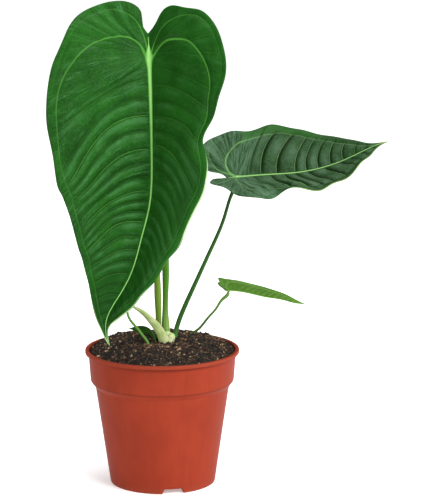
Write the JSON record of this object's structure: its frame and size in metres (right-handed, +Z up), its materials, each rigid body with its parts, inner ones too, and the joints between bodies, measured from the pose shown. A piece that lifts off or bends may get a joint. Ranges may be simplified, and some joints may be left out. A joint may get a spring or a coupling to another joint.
{
  "type": "potted anthurium",
  "caption": "Potted plant with long-stemmed, heart-shaped, deeply veined leaves growing from one crown in soil, in a round tapered nursery pot with a stepped rim.",
  "frame": {"origin": "centre of the underside of the pot, on the surface it stands on", "axes": "+Z up from the pot's foot to the tips of the leaves, +X towards the side leaf, -Y the front, which the large leaf faces"},
  "size_m": [0.3029, 0.1639, 0.4388],
  "materials": {
    "pot": "semi-gloss moulded plastic, terracotta orange",
    "soil": "loose peat and bark potting mix, dark brown",
    "crown": "waxy plant tissue, pale green to white",
    "large_leaf_blade": "waxy leaf, deep green with pale veins",
    "large_leaf_stem": "smooth green leaf stem",
    "medium_leaf_blade": "waxy leaf, grey green with pale veins",
    "medium_leaf_stem": "smooth dark green leaf stem",
    "small_leaf_blade": "thin bright green young leaf",
    "small_leaf_stem": "thin green leaf stem",
    "seedling_leaf_blade": "thin green young leaf",
    "seedling_leaf_stem": "thin light green leaf stem",
    "new_shoot": "yellow green rolled shoot",
    "sheath_leaf": "pale yellow green sheath",
    "low_leaf": "small dark green leaf"
  },
  "bodies": {
    "root": {"pot": "pot", "soil": "soil", "crown": "crown", "large_leaf_blade": "large_leaf_blade", "large_leaf_stem": "large_leaf_stem", "medium_leaf_blade": "medium_leaf_blade", "medium_leaf_stem": "medium_leaf_stem", "small_leaf_blade": "small_leaf_blade", "small_leaf_stem": "small_leaf_stem", "seedling_leaf_blade": "seedling_leaf_blade", "seedling_leaf_stem": "seedling_leaf_stem", "new_shoot": "new_shoot", "sheath_leaf": "sheath_leaf", "low_leaf": "low_leaf"}
  },
  "joints": []
}
